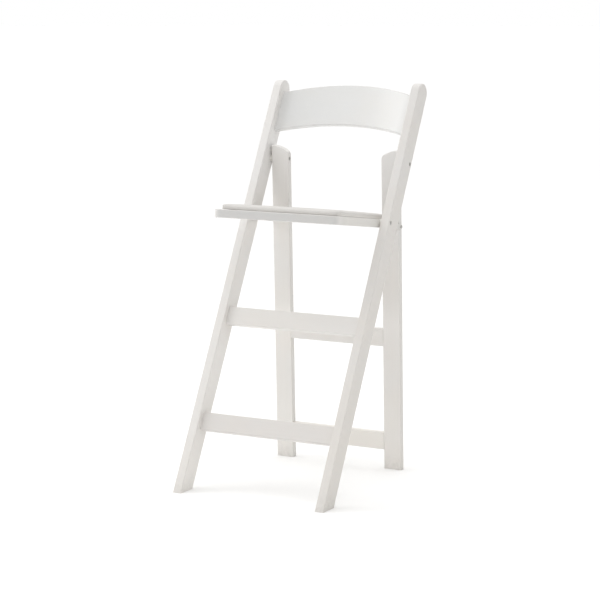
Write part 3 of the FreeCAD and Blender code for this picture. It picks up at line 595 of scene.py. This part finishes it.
    # gathered corners: folds that start at the stapled edge and run out on the shoulder
    for sx in (-1, 1):
        for su in (-1, 1):
            cx, cu = sx * (PAD_X - PAD_CORNER), PAD_MID + su * (PAD_HALF - PAD_CORNER)
            dx, du = (co[:, 0] - cx) * sx, (co[:, 1] - cu) * su
            rad = np.hypot(dx, du)
            ang = np.arctan2(du, dx)
            inside = (dx > -0.004) & (du > -0.004)
            span = smooth01((ang + 0.10) / 0.30) * smooth01((math.pi / 2 + 0.10 - ang) / 0.30)
            lift = np.clip((co[:, 2] - PAD_V0) / 0.013, 0, 1)
            strength = np.where(inside, span * smooth01((rad - 0.012) / 0.010) * (1 - 0.80 * lift), 0)
            wave = np.cos(ang * 20.0 + 0.9 * math.sin(3 * ang.mean()) + sx * 0.7 + su * 1.3)
            wave = np.where(wave > 0, np.abs(wave) ** 1.5, -np.abs(wave) ** 0.7)
            push = 0.00075 * strength * wave * np.clip((co[:, 2] - PAD_V0) / 0.0015, 0, 1)
            r_ = np.maximum(rad, 1e-6)
            co[:, 0] += push * dx / r_ * sx
            co[:, 1] += push * du / r_ * su

    # slack in the cover: shallow creases that fan out from the corners, and a soft unevenness
    for i in range(len(co)):
        if top[i] <= 0:
            continue
        p = Vector((co[i, 0], co[i, 1], 0.0))
        n1 = noise.noise(p * 26.0 + Vector((3.1, 0.2, 0.0)))
        n2 = noise.noise(p * 75.0 + Vector((7.7, 4.2, 1.0)))
        co[i, 2] += top[i] * (0.00030 * n1 + 0.00010 * n2)
    ax, au = np.abs(co[:, 0]), np.abs(co[:, 1] - PAD_MID)
    for sx in (-1, 1):
        for su in (-1, 1):
            dx = (PAD_X - 0.010) - co[:, 0] * sx
            du = (PAD_HALF - 0.010) - (co[:, 1] - PAD_MID) * su
            rad = np.hypot(dx, du)
            ang = np.arctan2(du, dx)
            fan = np.sin(ang * 11.0 + 0.8 * np.sin(ang * 3.0 + sx + 2 * su) + sx + 0.5 * su)
            fade = smooth01((rad - 0.006) / 0.012) * np.exp(-rad / 0.030)
            ok = (dx > 0) & (du > 0)
            co[:, 2] += np.where(ok, top * fade * fan * 0.00042, 0)

    # the front corners stand up a little from the frame
    for sx, low_lift, top_lift in ((-1, 0.0007, 0.0011), (1, 0.0001, 0.0008)):
        rad = np.hypot(co[:, 0] - sx * (PAD_X - 0.020), co[:, 1] - (PAD_U0 + 0.008))
        lift = low_lift + (top_lift - low_lift) * smooth01((co[:, 2] - PAD_V0) / 0.011)
        co[:, 2] += lift * np.exp(-(rad / 0.030) ** 2)

    # room to fold: the crown falls towards the sides and the rear, below the rear legs' path
    limit = 0.0266 - 0.0029 * np.clip(np.abs(co[:, 0]) / 0.1447, 0, 1) ** 3
    limit -= 0.0031 * smooth01((np.abs(co[:, 0]) - 0.090) / 0.055) * np.clip((co[:, 1] - 0.048) / 0.030, 0, 1) ** 2
    soft = 0.0004
    co[:, 2] = limit - soft * np.log1p(np.exp(np.clip((limit - co[:, 2]) / soft, -50, 50)))
    co[:, 2] = np.maximum(co[:, 2], PAD_V0)
    put_co(pad.data, co)
    for p in pad.data.polygons:
        p.use_smooth = True
    pad.data.transform(SEAT)
    pad.data.materials.clear()
    pad.data.materials.append(vinyl("white_vinyl"))
    return pad


cushion = make_cushion()
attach(cushion, "seat")
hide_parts("cushion_cover", "cushion_foam")

# ------------------------------------------------------------------ floor
def make_floor():
    bm = bmesh.new()
    rings, count = [], 96
    for r in (0.9, 2.0, 4.0, 9.0, 25.0, 80.0, 300.0):
        rings.append([bm.verts.new((r * math.cos(2 * math.pi * i / count), r * math.sin(2 * math.pi * i / count), 0.0)) for i in range(count)])
    centre = bm.verts.new((0, 0, 0))
    for i in range(count):
        bm.faces.new((centre, rings[0][i], rings[0][(i + 1) % count]))
    for a, b in zip(rings, rings[1:]):
        for i in range(count):
            bm.faces.new((a[i], b[i], b[(i + 1) % count], a[(i + 1) % count]))
    me = bpy.data.meshes.new("floor")
    bm.to_mesh(me)
    bm.free()
    obj = bpy.data.objects.new("floor", me)
    obj.location.z = -0.0002
    scene.collection.objects.link(obj)
    mat, t, bsdf = material("floor_paint")
    tc = t.add("ShaderNodeTexCoord")
    n = t.noise(tc.outputs["Object"], 1.6, 4.0, 0.5)
    t.link(t.mix(t.rng(n, 0.3, 0.7, 0.0, 1.0), (0.945, 0.945, 0.943), (0.952, 0.952, 0.950)), bsdf.inputs["Base Color"])
    bsdf.inputs["Roughness"].default_value = 0.85
    bsdf.inputs["Specular IOR Level"].default_value = 0.0
    obj.data.materials.append(mat)
    return obj


floor = make_floor()


FAR = 52.0


def make_backdrop():
    """White paper far behind the stool. It only fills the view and lights nothing."""
    bm = bmesh.new()
    count, loops = 96, []
    for i in range(13):
        a = math.radians(7.0 * i - 1.0)
        loops.append([bm.verts.new((FAR * math.cos(a) * math.cos(2 * math.pi * k / count),
                                    FAR * math.cos(a) * math.sin(2 * math.pi * k / count),
                                    FAR * math.sin(a))) for k in range(count)])
    for a, b in zip(loops, loops[1:]):
        for k in range(count):
            bm.faces.new((a[k], b[k], b[(k + 1) % count], a[(k + 1) % count]))
    top = bm.verts.new((0.0, 0.0, FAR))
    for k in range(count):
        bm.faces.new((loops[-1][k], top, loops[-1][(k + 1) % count]))
    me = bpy.data.meshes.new("backdrop")
    bm.to_mesh(me)
    bm.free()
    obj = bpy.data.objects.new("backdrop", me)
    scene.collection.objects.link(obj)
    mat = bpy.data.materials.new("backdrop_white")
    mat.use_nodes = True
    mat.node_tree.nodes.clear()
    t = Tree(mat.node_tree)
    out = t.add("ShaderNodeOutputMaterial")
    glow = t.add("ShaderNodeEmission")
    glow.inputs["Color"].default_value = (1.0, 1.0, 1.0, 1.0)
    glow.inputs["Strength"].default_value = 1.0
    t.link(glow.outputs[0], out.inputs[0])
    mat.cycles.emission_sampling = "NONE"
    obj.data.materials.append(mat)
    obj.visible_diffuse = False
    obj.visible_glossy = False
    obj.visible_transmission = False
    obj.visible_volume_scatter = False
    obj.visible_shadow = False
    return obj


backdrop = make_backdrop()

# ------------------------------------------------------------------ light
# a white tent: brighter overhead, with a large soft box high on the left and three small ones
LOBES = [  # name, axis, power, strength
    ("even", None, 1.0, 0.02),
    ("top", (0.0, 0.0, 1.0), 1.0, 1.45),
    ("left", (-0.92, -0.38, 0.10), 2.0, 0.24),
    ("back", (0.20, 0.97, 0.10), 2.0, 0.42),
]
world = bpy.data.worlds.new("studio")
scene.world = world
world.use_nodes = True
world.node_tree.nodes.clear()
w = Tree(world.node_tree)
w_out = w.add("ShaderNodeOutputWorld")
bg = w.add("ShaderNodeBackground")
w.link(bg.outputs[0], w_out.inputs[0])
w_tc = w.add("ShaderNodeTexCoord")
total = None
for lname, axis, power, strength in LOBES:
    level = w.add("ShaderNodeValue", name="level_" + lname)
    level.outputs[0].default_value = strength
    if axis is None:
        part = level.outputs[0]
    else:
        dot = w.add("ShaderNodeVectorMath", operation="DOT_PRODUCT")
        w.link(w_tc.outputs["Generated"], dot.inputs[0])
        dot.inputs[1].default_value = Vector(axis).normalized()
        lobe = w.math("POWER", w.math("MAXIMUM", dot.outputs["Value"], 0.0), power)
        part = w.math("MULTIPLY", lobe, level.outputs[0])
    total = part if total is None else w.math("ADD", total, part)
w.link(total, bg.inputs["Strength"])
bg.inputs["Color"].default_value = (1.0, 0.998, 0.992, 1.0)


def soft_box(name, place, aim, size, power):
    data = bpy.data.lights.new(name, "AREA")
    data.shape = "RECTANGLE"
    data.size, data.size_y = size
    data.energy = power
    obj = bpy.data.objects.new(name, data)
    obj.location = place
    obj.rotation_mode = "QUATERNION"
    obj.rotation_quaternion = (Vector(aim) - Vector(place)).to_track_quat("-Z", "Y")
    scene.collection.objects.link(obj)
    return obj


soft_box("left_box", (-3.3, -0.35, 3.1), (0.0, 0.15, 0.9), (2.7, 1.9), 36.5)
soft_box("left_low_box", (-3.2, -1.6, 1.2), (0.0, 0.0, 0.6), (1.6, 1.6), 6.6)
soft_box("front_right_box", (1.3, -2.2, 2.3), (0.0, 0.0, 0.7), (1.0, 1.0), 2.5)
soft_box("front_box", (0.2, -2.6, 1.5), (0.0, 0.0, 0.7), (1.0, 1.0), 0.8)
